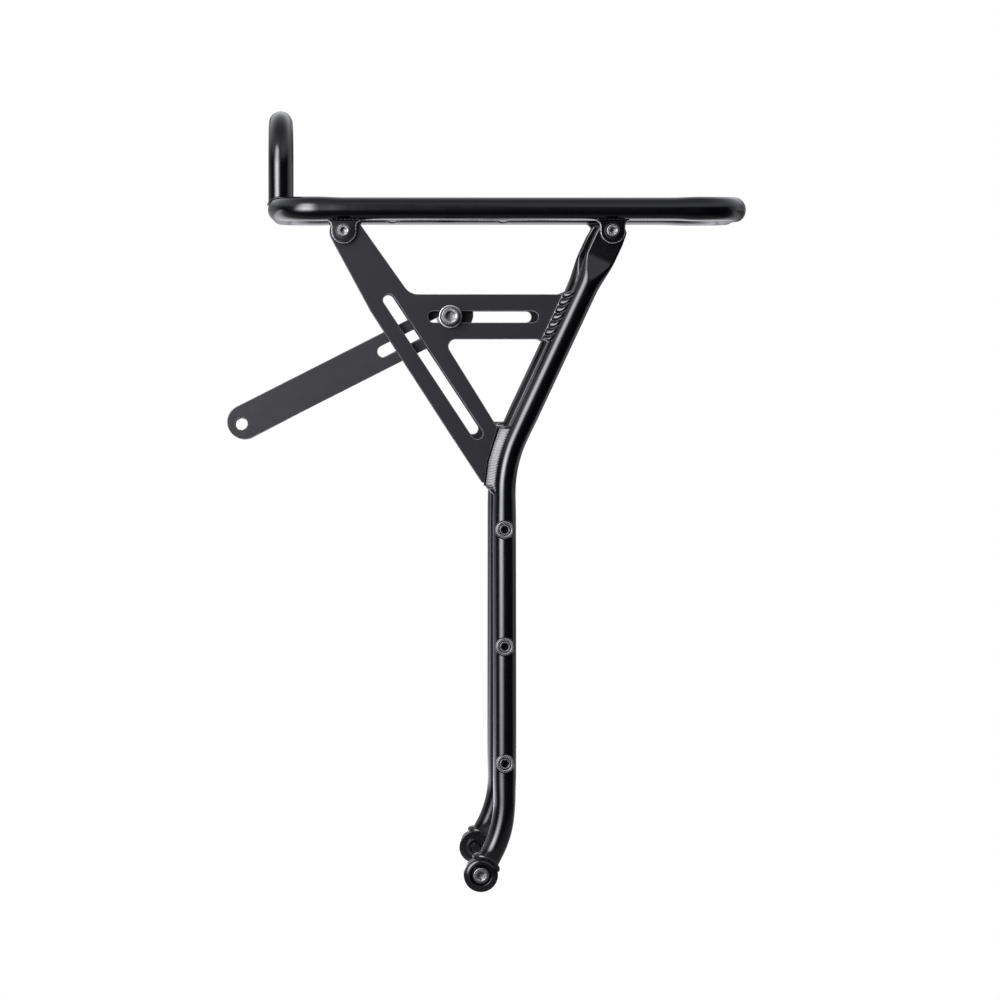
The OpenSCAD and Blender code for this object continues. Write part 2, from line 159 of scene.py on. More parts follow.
def rounded_path(corners, turn, closed=False, pitch=4.0):
    """Points along a flat line whose corners (a, b, radius) are rounded, with how bent it is there.

    turn is the angle between points on an arc, in degrees, and pitch their distance on a straight.
    """
    count = len(corners)
    parts = []
    for i, (a, b, r) in enumerate(corners):
        p = Vector((a, b))
        if r == 0 or (not closed and i in (0, count - 1)):
            parts.append(([p], 0.0))
            continue
        u = (Vector(corners[i - 1][:2]) - p).normalized()
        v = (Vector(corners[(i + 1) % count][:2]) - p).normalized()
        half = math.acos(max(-1.0, min(1.0, u.dot(v)))) / 2
        centre = p + (u + v).normalized() * r / math.sin(half)
        start, end = p + u * r / math.tan(half) - centre, p + v * r / math.tan(half) - centre
        sweep = math.pi - 2 * half
        if start.x * end.y - start.y * end.x < 0:
            sweep = -sweep
        steps = max(2, round(abs(math.degrees(sweep)) / turn))
        arc = []
        for k in range(steps + 1):
            c, s = math.cos(sweep * k / steps), math.sin(sweep * k / steps)
            arc.append(centre + Vector((start.x * c - start.y * s, start.x * s + start.y * c)))
        parts.append((arc, 1.0))
    out = []
    for i, (points, bent) in enumerate(parts):
        last = len(points) - 1
        out += [(p, bent if 0 < k < last else ARC_END * bent) for k, p in enumerate(points)]
        if i + 1 < count or closed:
            a, b = points[-1], parts[(i + 1) % count][0][0]
            ends = (bent, parts[(i + 1) % count][1])
            steps = max(1, round((b - a).length / pitch))
            for k in range(1, steps):
                d0, d1 = (b - a).length * k / steps, (b - a).length * (1 - k / steps)
                near = max(ends[0] * smooth(1 - d0 / BEND_FADE), ends[1] * smooth(1 - d1 / BEND_FADE))
                out.append((a.lerp(b, k / steps), near))
    return out


def outline(corners, turn):
    """Closed outline points with how bent they are, and none twice or along the straight sides."""
    points = rounded_path(corners, turn, closed=True, pitch=NO_POINTS)
    return [q for i, q in enumerate(points) if (q[0] - points[i - 1][0]).length > 1e-4]


def circle(x, z, r, count=48):
    return [Vector((x + r * math.cos(t), z + r * math.sin(t))) for t in angles(count)]


def slot(a, b, r, count=16):
    a, b = Vector(a), Vector(b)
    aim = math.atan2(b.y - a.y, b.x - a.x)
    points = []
    for end, start in ((b, aim - math.pi / 2), (a, aim + math.pi / 2)):
        for k in range(count + 1):
            t = start + math.pi * k / count
            points.append(end + r * Vector((math.cos(t), math.sin(t))))
    return points


def inward_normal(loop, i):
    """The direction into the material at point i of a loop, scaled so that offset edges stay parallel."""
    before, here, after = loop[i - 1], loop[i], loop[(i + 1) % len(loop)]
    u, v = (here - before).normalized(), (after - here).normalized()
    n = Vector((-u.y - v.y, u.x + v.x))
    if n.length < 1e-6:
        return Vector((-u.y, u.x))
    n.normalize()
    return n / max(0.35, n.dot(Vector((-u.y, u.x))))


def area(loop):
    return sum(loop[i - 1].x * p.y - p.x * loop[i - 1].y for i, p in enumerate(loop)) / 2


# ---- Mesh building ----

COLLAR_TURN = 30.0  # degrees between the points of a collar's fillets
BEVEL_STEPS = 3  # rows of faces round the edge of a slab
BEAD_PITCH = 2.2  # length of one ripple of a weld bead
BEAD_SIDES = 10


class Shape:
    """Closed shells in millimetres, gathered into one mesh."""

    def __init__(self, place):
        self.place, self.verts, self.faces, self.wear_and_painted_light = place, [], [], []

    def vert(self, p, wear_and_painted_light=0.0):
        self.verts.append(self.place(p))
        self.wear_and_painted_light.append(wear_and_painted_light)
        return len(self.verts) - 1

    def ring(self, points, wear_and_painted_light=0.0):
        return [self.vert(p, wear_and_painted_light) for p in points]

    def join(self, a, b):
        """Faces between two rings; a ring of one vertex is a pole."""
        if len(a) == 1 and len(b) == 1:
            return
        n = max(len(a), len(b))
        for k in range(n):
            m = (k + 1) % n
            if len(a) == 1:
                self.faces.append((a[0], b[m], b[k]))
            elif len(b) == 1:
                self.faces.append((a[k], a[m], b[0]))
            else:
                self.faces.append((a[k], a[m], b[m], b[k]))

    def loft(self, rings, closed=False, wear_and_painted_light=None):
        """A shell through the rings, either closed on itself or capped at both ends."""
        made = [self.ring(r, wear_and_painted_light[i] if wear_and_painted_light else 0.0) for i, r in enumerate(rings)]
        for a, b in zip(made, made[1:]):
            self.join(a, b)
        if closed:
            self.join(made[-1], made[0])
        else:
            for ids, points in ((made[0], rings[0]), (made[-1], rings[-1])):
                if len(ids) > 1:
                    middle = sum((Vector(p) for p in points), Vector()) / len(points)
                    self.join([self.vert(middle)], ids)

    def sweep(self, path, lift, across, section, closed=False):
        """A shell along a flat path.

        lift turns a path point into a place, across is the path's normal, and section(i, bent) gives the
        section's (u, v) points at point i.
        """
        across = Vector(across)
        places = [lift(p) for p, _ in path]
        rings = []
        for i, (_, bent) in enumerate(path):
            a = places[i - 1] if i or closed else places[0]
            b = places[(i + 1) % len(places)] if i + 1 < len(places) or closed else places[-1]
            out = (b - a).normalized().cross(across)
            rings.append([places[i] + out * u + across * v for u, v in section(i, bent)])
        self.loft(rings, closed)

    def turn(self, x, z, rings, closed=False, count=48, worn_and_highlit=(), painted_shade=()):
        """A shell round the y axis through x, z. Each ring is y with a radius or a function of angle."""
        lofted = []
        for y, r in rings:
            if not callable(r) and r < 1e-6:
                lofted.append([(x, y, z)])
                continue
            radii = [r(t) if callable(r) else r for t in angles(count)]
            lofted.append([(x + radius * math.cos(t), y, z + radius * math.sin(t))
                           for radius, t in zip(radii, angles(count))])
        # 1 marks edges lightened as scuffed paint and as a painted highlight, -1 marks painted shade
        wear_and_painted_light = [1.0 if i in worn_and_highlit else -1.0 if i in painted_shade else 0.0 for i in range(len(rings))]
        self.loft(lofted, closed, wear_and_painted_light)

    def collar(self, x, z, corners, count, rubbed_and_highlit=(0.0, 100.0), dark=(0.0, 0.0)):
        """A turned ring with a closed profile of (radius, y, fillet).

        Its fillets are lightened, as scuffed paint and a painted highlight, where their radius lies in
        the range given after count, and it gets painted shade between the radii in dark.
        """
        profile = outline(corners, COLLAR_TURN)
        self.turn(x, z, [(p.y, p.x) for p, _ in profile], closed=True, count=count,
                  worn_and_highlit=[i for i, (p, bent) in enumerate(profile)
                        if bent == 1.0 and rubbed_and_highlit[0] <= p.x <= rubbed_and_highlit[1]],
                  painted_shade=[i for i, (p, _) in enumerate(profile) if dark[0] < p.x < dark[1]])

    def slab(self, loops, y0, y1, bevel, rubbed_and_highlit=0.0):
        """A flat plate with holes and rounded edges: loops are the outer outline and then the holes."""
        loops = [list(loop) for loop in loops]
        for i, loop in enumerate(loops):
            if (area(loop) < 0) == (i == 0):
                loop.reverse()
        insets = [[inward_normal(loop, i) for i in range(len(loop))] for loop in loops]
        walls = []
        for face, sense in ((y0, 1), (y1, -1)):
            levels = []
            for k in range(BEVEL_STEPS + 1):
                a = math.pi / 2 * k / BEVEL_STEPS
                inset, y = bevel * (1 - math.cos(a)), face + sense * bevel * (1 - math.sin(a))
                # The bevel's inner rows get the lightened edge colour, scuffed paint and a painted
                # highlight; the faces get the value given
                worn_and_highlit = 1.0 if 0 < k < BEVEL_STEPS else rubbed_and_highlit
                levels.append([self.ring([(p.x + n.x * inset, y, p.y + n.y * inset)
                                          for p, n in zip(loop, normals)], worn_and_highlit)
                               for loop, normals in zip(loops, insets)])
            for a, b in zip(levels, levels[1:]):
                for m in range(len(loops)):
                    self.join(a[m], b[m])
            flat = [[Vector((p.x + n.x * bevel, p.y + n.y * bevel, 0)) for p, n in zip(loop, normals)]
                    for loop, normals in zip(loops, insets)]
            ids = [v for ring in levels[-1] for v in ring]
            for tri in geometry.tessellate_polygon(flat):
                self.faces.append(tuple(ids[t] for t in tri))
            walls.append(levels[0])
        for a, b in zip(*walls):
            self.join(a, b)

    def bead(self, points, centre, radius, ripple, closed=True):
        """A rippled weld bead along points; its section is laid out from the centre outwards."""
        points = [Vector(p) for p in points]
        n = len(points)
        lengths = [0.0]
        for i in range(1, n + 1):
            lengths.append(lengths[-1] + (points[i % n] - points[i - 1]).length)
        total = lengths[-1] if closed else lengths[n - 1]
        humps = max(2, round(total / BEAD_PITCH))
        rings = []
        for i, p in enumerate(points):
            a = points[i - 1] if i or closed else points[0]
            b = points[(i + 1) % n] if i + 1 < n or closed else points[-1]
            along = (b - a).normalized()
            out = p - Vector(centre)
            out = (out - along * out.dot(along)).normalized()
            side = along.cross(out)
            r = radius(i / n) if callable(radius) else radius
            r *= 1 + ripple * (scallop(humps * lengths[i] / total) - 0.5)
            if not closed:
                edge = min(lengths[i], total - lengths[i]) / (1.5 * r)
                r *= math.sqrt(max(0.02, 1 - (1 - min(1.0, edge)) ** 2))
            rings.append([p + out * r * math.cos(t) + side * r * math.sin(t) for t in angles(BEAD_SIDES)])
        self.loft(rings, closed)


def merge(shapes):
    """One shape with the shells of several, each placed by its own frame."""
    whole = Shape(shared)
    for part in shapes:
        shift = len(whole.verts)
        whole.verts += part.verts
        whole.wear_and_painted_light += part.wear_and_painted_light
        whole.faces += [tuple(i + shift for i in face) for face in part.faces]
    return whole


def shell_mesh(name, shape):
    """The shape's closed shells as a mesh in metres, with normals outwards and a value per point: 1 on
    edges lightened as scuffed paint and as a painted highlight, -1 for painted shade.
    """
    mesh = bpy.data.meshes.new(name)
    mesh.from_pydata([v * MM for v in shape.verts], [], shape.faces)
    wear_and_painted_light = mesh.attributes.new("wear_and_painted_light", "FLOAT", "POINT")
    wear_and_painted_light.data.foreach_set("value", shape.wear_and_painted_light)
    bm = bmesh.new()
    bm.from_mesh(mesh)
    bmesh.ops.remove_doubles(bm, verts=bm.verts, dist=1e-7)
    bmesh.ops.recalc_face_normals(bm, faces=bm.faces)
    bm.to_mesh(mesh)
    bm.free()
    return mesh


def linked_object(name, data):
    ob = bpy.data.objects.new(name, data)
    bpy.context.scene.collection.objects.link(ob)
    return ob


def finish_piece(name, shape, body, material, nodes, holes=None, sharp=38.0):
    """Turns a shape into a mesh object that rides on a body and stands for CAD nodes."""
    ob = linked_object(name, shell_mesh(name, shape))
    if holes:
        cut_holes(ob, holes)
    ob.data.shade_smooth()
    ob.data.set_sharp_from_angle(angle=math.radians(sharp))
    tidy = ob.modifiers.new("face_weighted_normals", "WEIGHTED_NORMAL")
    tidy.keep_sharp = True
    ob.data.materials.append(material)
    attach(ob, body)
    if nodes:
        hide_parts(*nodes)


def cut_holes(ob, shape):
    """Takes the shape's closed shells out of a mesh object."""
    mesh = shell_mesh("cutter", shape)
    cutter = linked_object("cutter", mesh)
    cut = ob.modifiers.new("cut", "BOOLEAN")
    cut.operation, cut.solver, cut.object = "DIFFERENCE", "EXACT", cutter
    evaluated = ob.evaluated_get(bpy.context.evaluated_depsgraph_get())
    done = bpy.data.meshes.new_from_object(evaluated)
    ob.modifiers.clear()
    ob.data = done
    bpy.data.objects.remove(cutter)
    bpy.data.meshes.remove(mesh)


# ---- Materials ----

def empty_tree(owner):
    """The cleared node tree of a material or world."""
    owner.use_nodes = True
    owner.node_tree.nodes.clear()
    return owner.node_tree


def node(tree, kind, **values):
    """A new node; in_NAME or in_NUMBER sets an input, and other names set properties."""
    n = tree.nodes.new(kind)
    for key, value in values.items():
        if key.startswith("in_"):
            name = key[3:]
            n.inputs[int(name) if name.isdigit() else name.replace("_", " ")].default_value = value
        else:
            setattr(n, key, value)
    return n


def noise(tree, source, size_mm, detail=3.0, rough=0.55):
    n = node(tree, "ShaderNodeTexNoise", in_Scale=1000.0 / size_mm, in_Detail=detail, in_Roughness=rough)
    tree.links.new(source, n.inputs["Vector"])
    return n.outputs["Fac"]


def ramp(tree, source, start, end, low, high, curve="SMOOTHSTEP"):
    """low up to start and high from end on."""
    n = node(tree, "ShaderNodeMapRange", interpolation_type=curve, in_From_Min=start, in_From_Max=end,
             in_To_Min=low, in_To_Max=high)
    tree.links.new(source, n.inputs["Value"])
    return n.outputs["Result"]


def spread(tree, source, low, high, start=0.3, end=0.7):
    """A straight ramp, by default over the middle of a noise pattern's range."""
    return ramp(tree, source, start, end, low, high, "LINEAR")


def math_node(tree, operation, a, b):
    n = node(tree, "ShaderNodeMath", operation=operation)
    for socket, value in zip(n.inputs, (a, b)):
        if isinstance(value, (int, float)):
            socket.default_value = value
        else:
            tree.links.new(value, socket)
    return n.outputs[0]


def product(tree, first, *others):
    for other in others:
        first = math_node(tree, "MULTIPLY", first, other)
    return first


def blend_colour(tree, factor, a, b):
    n = node(tree, "ShaderNodeMix", data_type="RGBA")
    tree.links.new(factor, n.inputs[0])
    for socket, value in ((n.inputs[6], a), (n.inputs[7], b)):
        if isinstance(value, tuple):
            socket.default_value = (*value, 1.0)
        else:
            tree.links.new(value, socket)
    return n.outputs[2]


# Colour of the painted shade laid on knurls, threads, a line on a screw head and a washer's step
PAINTED_SHADE_COLOUR = (0.012, 0.012, 0.012)
# The first size is of the patches along the edges that are lightened both as scuffed paint and as a
# painted highlight
RUB_AND_HIGHLIGHT_MM, GLOSS_MM = 5.0, 6.0  # sizes of the rubbed and the duller patches


def finish_material(name, dark, light, rough, rough_swing, grain_mm, grain_height, metallic=0.0,
                    patch_mm=22.0, wave_mm=2.4, wave_height=0.003, worn_and_highlit=(0.12, 0.12, 0.125),
                    wear_and_painted_light=0.6, specular=0.5, edge_gloss=0.0):
    """One metal or paint finish: patchy colour, uneven gloss, fine grain over soft waves, edges lightened
    as scuffed paint and as a painted highlight, and painted shade.

    The point attribute is 1 on edges lightened as scuffed paint and as a painted highlight, and -1 for
    painted shade, as in a thread or a knurl.
    """
    mat = bpy.data.materials.new(name)
    tree = empty_tree(mat)
    out = node(tree, "ShaderNodeOutputMaterial")
    shader = node(tree, "ShaderNodeBsdfPrincipled")
    shader.inputs["Metallic"].default_value = metallic
    shader.inputs["Specular IOR Level"].default_value = specular
    tree.links.new(shader.outputs[0], out.inputs["Surface"])
    place = node(tree, "ShaderNodeTexCoord").outputs["Object"]
    patches = noise(tree, place, patch_mm)
    grain = noise(tree, place, grain_mm, 2.0, 0.6)
    waves = noise(tree, place, wave_mm, 1.0, 0.4)
    colour = blend_colour(tree, spread(tree, patches, 0.0, 1.0), dark, light)
    speckled = blend_colour(tree, spread(tree, grain, 0.0, 0.35, 0.45, 0.8), colour, light)
    edge = node(tree, "ShaderNodeAttribute", attribute_name="wear_and_painted_light").outputs["Fac"]
    on_edge = spread(tree, edge, 0.0, 1.0, 0.0, 1.0)
    # Edges lightened in patches, as scuffed paint and as a painted highlight
    rubbed_and_highlit = product(tree, on_edge, spread(tree, noise(tree, place, RUB_AND_HIGHLIGHT_MM), 0.65, 1.0), wear_and_painted_light)
    edged = blend_colour(tree, rubbed_and_highlit, speckled, worn_and_highlit)
    # Painted shade where the point attribute falls below zero
    painted_shade = spread(tree, edge, 1.0, 0.0, -1.0, 0.0)
    tree.links.new(blend_colour(tree, painted_shade, edged, PAINTED_SHADE_COLOUR), shader.inputs["Base Color"])
    uneven = spread(tree, noise(tree, place, GLOSS_MM), rough - rough_swing, rough + rough_swing)
    gloss = node(tree, "ShaderNodeMath", operation="MULTIPLY_ADD", in_1=-edge_gloss)
    tree.links.new(on_edge, gloss.inputs[0])
    tree.links.new(uneven, gloss.inputs[2])
    tree.links.new(gloss.outputs[0], shader.inputs["Roughness"])
    soft = node(tree, "ShaderNodeBump", in_Strength=1.0, in_Distance=wave_height * MM)
    tree.links.new(waves, soft.inputs["Height"])
    fine = node(tree, "ShaderNodeBump", in_Strength=1.0, in_Distance=grain_height * MM)
    tree.links.new(grain, fine.inputs["Height"])
    tree.links.new(soft.outputs[0], fine.inputs["Normal"])
    tree.links.new(fine.outputs[0], shader.inputs["Normal"])
    return mat


def grey(value, blue=0.0):
    return (value, value, value + blue)


# Each finish's edge colour lightens its scuffed edges and is also a painted edge highlight
TUBE = finish_material(
    "tube_paint", (0.0007, 0.0008, 0.0012), (0.0012, 0.0013, 0.0020), 0.19, 0.015,
    grain_mm=0.7, grain_height=0.0008, wave_mm=3.5, wave_height=0.002)
FITTING = finish_material(
    "fitting_paint", (0.0008, 0.0009, 0.0013), (0.0016, 0.0017, 0.0024), 0.17, 0.02,
    grain_mm=0.6, grain_height=0.001, wave_mm=2.6, wave_height=0.001, worn_and_highlit=grey(0.22, 0.005), wear_and_painted_light=1.0)
PLATE = finish_material(
    "plate_paint", (0.0050, 0.0052, 0.0066), (0.0062, 0.0064, 0.0080), 0.46, 0.02,
    grain_mm=0.45, grain_height=0.0022, wave_mm=2.6, wave_height=0.001, wear_and_painted_light=1.0, patch_mm=30.0,
    specular=0.17, edge_gloss=0.2)
WELD = finish_material(
    "weld_paint", (0.0008, 0.0009, 0.0013), (0.0020, 0.0021, 0.0028), 0.23, 0.04,
    grain_mm=0.6, grain_height=0.002, wave_mm=1.1, wave_height=0.022, patch_mm=5.0)
SCREW = finish_material(
    "screw_steel", grey(0.09), grey(0.14), 0.46, 0.05, metallic=1.0, patch_mm=2.6,
    grain_mm=0.35, grain_height=0.002, wave_mm=1.0, worn_and_highlit=grey(0.30), wear_and_painted_light=0.7)
NUT = finish_material(
    "nut_steel", grey(0.16), grey(0.24), 0.28, 0.05, metallic=1.0, patch_mm=3.0,
    grain_mm=0.4, grain_height=0.002, wave_mm=1.2, worn_and_highlit=grey(0.40), wear_and_painted_light=0.5)
WASHER = finish_material(
    "washer_steel", grey(0.30), grey(0.40), 0.36, 0.05, metallic=1.0, patch_mm=3.5,
    grain_mm=0.3, grain_height=0.002, wave_mm=1.4, worn_and_highlit=grey(0.68), wear_and_painted_light=0.9)
WASHER_BLACK = finish_material(
    "washer_oxide", (0.001, 0.001, 0.0014), (0.002, 0.002, 0.0026), 0.28, 0.04,
    grain_mm=0.4, grain_height=0.0015, worn_and_highlit=grey(0.02), wear_and_painted_light=0.4)


# ---- Deck ----

def pressed_section(r, narrower, taller, count):
    """A round tube's section, pressed narrower and taller by these amounts where it is bent."""
    def section(i, bent):
        return [((r - narrower * bent) * math.cos(t), (r + taller * bent) * math.sin(t))
                for t in angles(count)]
    return section


def deck_hoop():
    shape = Shape(shared)
    path = rounded_path([(DECK_X0, -RAIL_Y, CORNER_R), (DECK_X1, -RAIL_Y, CORNER_R),
                         (DECK_X1, RAIL_Y, CORNER_R), (DECK_X0, RAIL_Y, CORNER_R)], 3.0, closed=True)
    shape.sweep(path, lambda p: Vector((p.x, p.y, RAIL_Z)), (0, 0, 1),
                pressed_section(TUBE_R, 0.35, 0.45, 48), closed=True)
    finish_piece("deck_tube", shape, "rack_frame", TUBE, ["deck_hoop"])


def front_hoop():
    shape = Shape(shared)
    path = rounded_path([(-HOOP_Y, RAIL_Z, 0), (-HOOP_Y, HOOP_Z, HOOP_R), (HOOP_Y, HOOP_Z, HOOP_R),
                         (HOOP_Y, RAIL_Z, 0)], 3.0)
    shape.sweep(path, lambda p: Vector((HOOP_X, p.x, p.y)), (1, 0, 0),
                pressed_section(TUBE_R, 0.3, 0.0, 48))
    finish_piece("front_hoop_tube", shape, "rack_frame", TUBE, ["front_hoop"])
    beads = Shape(shared)
    seat_r, half_x, half_y = TUBE_R + 0.15, TUBE_R - 0.45, TUBE_R + 0.05
    for side in (LEFT, RIGHT):
        ring = []
        for t in angles(96):
            x, y = half_x * math.cos(t), half_y * math.sin(t)
            ring.append((DECK_X0 + x, side * HOOP_Y + y, RAIL_Z + math.sqrt(seat_r ** 2 - x * x)))
        beads.bead(ring, (DECK_X0, side * HOOP_Y, RAIL_Z), 0.75, ripple=0.12)
    finish_piece("front_hoop_welds", beads, "rack_frame", WELD, [])


def cross_tubes():
    beads = Shape(shared)
    reach = RAIL_Y - TUBE_R + 1.6
    bead_r, seat_r = CROSS_R + 0.15, TUBE_R + 0.25
    for x, name in zip(CROSS_X, ("front", "middle", "rear")):
        shape = Shape(shared)
        path = [(Vector((0, -reach + 2 * reach * k / 30)), 0.0) for k in range(31)]
        shape.sweep(path, lambda p: Vector((x, p.y, RAIL_Z)), (0, 0, 1),
                    pressed_section(CROSS_R, 0.0, 0.0, 40))
        finish_piece("cross_bar_" + name, shape, "rack_frame", TUBE,
                     ["cross_tube_" + name])
        for side in (LEFT, RIGHT):
            ring = []
            for t in angles(72):
                z = bead_r * math.sin(t)
                ring.append((x + bead_r * math.cos(t), side * (RAIL_Y - math.sqrt(seat_r ** 2 - z * z)),
                             RAIL_Z + z))
            beads.bead(ring, (x, side * RAIL_Y, RAIL_Z), 0.6, ripple=0.1)
    finish_piece("cross_bar_welds", beads, "rack_frame", WELD, [])


def tab_outline(x):
    """A tab: a round lower end, straight sides, and tops that flare out where they meet the rail."""
    lower = [math.pi * (1 + k / 24) for k in range(25)]
    points = [Vector((x + TAB_R * math.cos(t), TAB_H + TAB_R * math.sin(t))) for t in lower]
    flare = [(0.0, 2.6), (0.12, 3.6), (0.5, 4.5), (1.15, 5.2), (2.0, 5.7), (2.6, 6.3), (2.6, 8.5)]
    points += [Vector((x + TAB_R + a, TAB_H + b)) for a, b in flare]
    points += [Vector((x - TAB_R - a, TAB_H + b)) for a, b in reversed(flare)]
    return points


def deck_tabs():
    plates, beads = [], []
    half_line = 9.2
    for _, side in SIDES:
        plates.append(Shape(leaning(side)))
        beads.append(Shape(leaning(side)))
        for x in TAB_X:
            plates[-1].slab([tab_outline(x), circle(x, TAB_H, TAB_HOLE_R, 32)], TAB_INNER_Y, TAB_OUTER_Y,
                            bevel=0.6)
            middle_far_below = (x, (TAB_INNER_Y + TAB_OUTER_Y) / 2, TAB_H - 400)
            for y, rise in ((TAB_OUTER_Y + 0.5, 6.4), (TAB_INNER_Y - 0.7, 6.6)):
                line = [(x + half_line * (k / 30 - 1), y, TAB_H + rise) for k in range(61)]
                beads[-1].bead(line, middle_far_below, 0.8, ripple=0.1, closed=False)
    finish_piece("tab_plates", merge(plates), "rack_frame", FITTING, ["deck_tabs"])
    finish_piece("tab_welds", merge(beads), "rack_frame", WELD, [])


# ---- Screws, nuts and washers ----

# Shank radius, head radius and head height of each screw size
M4, M5, M6 = (2.0, 3.5, 4.0), (2.5, 4.25, 5.0), (3.0, 5.0, 6.0)
KNURL_DEPTH = 0.07


def hexagon(flats):
    """The radius of a hexagon this wide across its flats, as a function of angle."""
    half = flats / 2
    return lambda t: half / math.cos((t + math.pi / 6) % (math.pi / 3) - math.pi / 6)


def knurl(r, count):
    return lambda t: r + KNURL_DEPTH * math.cos(count * t)


def thread(r, pitch, y):
    """One ring of a right-hand thread at height y."""
    def radius(t):
        f = (y / pitch + t / (2 * math.pi)) % 1.0
        return r - 0.5 * pitch * min(1.0, 2.2 * abs(f - 0.5))
    return radius


def cap_screw(shape, x, z, seat, length, size, socket, threaded, pitch):
    """A socket cap screw along y, with a knurled head, a countersunk hexagon and a threaded tip."""
    r, head_r, head_h = size
    top, tip = seat + head_h, seat - length
    bottom = top - 0.55 * head_h
    flats = hexagon(socket)
    socket_rim = socket / 2 / math.cos(math.pi / 6) + 0.25
    grip = knurl(head_r - 0.05, 32)
    socket_rings = [(bottom - 0.5, 0.0), (bottom, lambda t: 0.8 * flats(t)), (bottom + 0.1, flats),
                    (top - 0.3, flats)]
    face_rings = [(top, socket_rim), (top, head_r - 1.0), (top - 0.03, head_r - 0.6),
                  (top - 0.06, head_r - 0.3)]
    side_rings = [(top - 0.25, head_r - 0.08), (top - 0.5, grip), (seat + 0.5, grip),
                  (seat + 0.3, head_r - 0.05), (seat, head_r - 0.35)]
    shank_rings = [(seat, r + 0.3), (seat - 0.3, r), (tip + threaded, r)]
    steps = max(4, round(threaded / pitch * 8))
    heights = [tip + threaded * (1 - k / steps) for k in range(1, steps)]
    thread_rings = [(y, thread(r, pitch, y)) for y in heights if y > tip + 0.5]
    tip_rings = [(tip + 0.35, r - 0.45 * pitch), (tip, r - 0.75 * pitch), (tip, 0.0)]
    rings = socket_rings + face_rings + side_rings + shank_rings + thread_rings + tip_rings
    # Lightened as scuffed metal and a painted highlight: the socket's rim and the edge of the face.
    # Painted shade: a line on the face, the knurl and the thread
    shape.turn(x, z, rings, count=96, worn_and_highlit=(4, 7), painted_shade=(6, 9, 10, 11, *range(16, len(rings))))


def nut(shape, x, z, y0, y1, flats, bore):
    """A hexagon nut whose corners are turned away in a cone at both faces."""
    across = hexagon(flats)
    flat_r = flats / 2 * 0.97

    def shaved(y):
        rise = min(y - y0, y1 - y)
        return lambda t: min(across(t), flat_r + rise / math.tan(math.radians(28)))

    levels = [0.0, 0.08, 0.16, 0.26, 0.38, 0.52, 0.7]
    rings = [(y0 + 0.35, bore + 0.02), (y0, bore + 0.35), (y0, flat_r - 0.1)]
    rings += [(y0 + v, shaved(y0 + v)) for v in levels]
    rings += [(y1 - v, shaved(y1 - v)) for v in reversed(levels)]
    rings += [(y1, flat_r - 0.1), (y1, bore + 0.35), (y1 - 0.35, bore + 0.02)]
    shape.turn(x, z, rings, closed=True, count=96)


def washer(shape, x, z, y0, y1, r_out, r_in, edge=0.25, lip=0.0):
    """A washer; with a lip, its outer face is sunk inside that width, down a step with a ring of painted
    shadow from the head.
    """
    corners = [(r_in, y0, 0.1), (r_out, y0, edge), (r_out, y1, edge)]
    dark = (0.0, 0.0)
    if lip:
        step_r = r_out - lip
        corners += [(step_r, y1, 0.1), (step_r - 0.15, y1 - 0.3, 0.05), (r_in, y1 - 0.3, 0.1)]
        # The ring between these radii is painted shadow from the screw head
        dark = (step_r - 0.3, step_r - 0.1)
    else:
        corners.append((r_in, y1, 0.1))
    shape.collar(x, z, corners, count=72, dark=dark)


def tab_fasteners():
    screws, washers, nuts = [], [], []
    seat = TAB_OUTER_Y + 0.8
    for _, side in SIDES:
        for group in (screws, washers, nuts):
            group.append(Shape(leaning(side)))
        for x in TAB_X:
            cap_screw(screws[-1], x, TAB_H, seat, length=12.0, size=M4, socket=3.0, threaded=9.0,
                      pitch=0.7)
            washer(washers[-1], x, TAB_H, TAB_OUTER_Y, seat, 4.5, 2.15, edge=0.2)
            nut(nuts[-1], x, TAB_H, -5.2, -PLATE_HALF, flats=7.0, bore=M4[0])
    finish_piece("tab_cap_screws", merge(screws), "rack_frame", SCREW, ["tab_screws"])
    finish_piece("tab_black_washers", merge(washers), "rack_frame", WASHER_BLACK,
                 ["tab_washers"])
    finish_piece("tab_hex_nuts", merge(nuts), "rack_frame", NUT, ["tab_nuts"])


# ---- Side frames ----

LEG_START = FOOT_R - 1.0  # the tube ends this far from the foot's axis
CRUSHED_EDGE_R = 1.3


def leg_path():
    top = (TAB_X[1] + LEG_END * math.sin(UPPER_SLOPE), TAB_H + LEG_END * math.cos(UPPER_SLOPE), 0)
    return rounded_path([(LEG_START * math.sin(FOOT_SLOPE), LEG_START * math.cos(FOOT_SLOPE), 0),
                         (LEG_X, FOOT_BEND_Z, FOOT_BEND_R), (LEG_X, UPPER_BEND_Z, UPPER_BEND_R), top],
                        2.0, pitch=1.2)


def leg_section(point, bent):
    """The leg's section: round, pinched onto the foot boss below, and crushed flat at the top."""
    up = (TAB_H - point.y) / math.cos(UPPER_SLOPE)
    flat_side = smooth((CRUSH_START - up) / CRUSH_LENGTH)
    wide_side = smooth((WIDEN_START - up) / WIDEN_LENGTH)
    pinch = smooth((point.length - LEG_START) / 7.0) if point.y < 30 else 1.0
    width, depth = FLAT_HALF_W, PLATE_HALF
    if up < 4.5:
        width = mix(FLAT_END_R, width, up / 4.5) if up > 0 else math.sqrt(FLAT_END_R ** 2 - up ** 2)
        rounding = smooth(1.0 - up - LEG_END)
        width -= 0.4 * rounding
        depth -= 0.5 * rounding
    half_width, edge = mix(TUBE_R - 0.2 * bent, width, wide_side), CRUSHED_EDGE_R
    ring = []
    for t in angles(64, 0.5):
        c, s = math.cos(t), math.sin(t)
        u = mix(half_width * c, math.copysign(half_width - edge, c) + edge * c, flat_side)
        v = mix((TUBE_R + 0.15 * bent) * s, math.copysign(depth - edge, s) + edge * s, flat_side)
        ring.append((u, v * mix(0.8, 1.0, pinch)))
    return ring


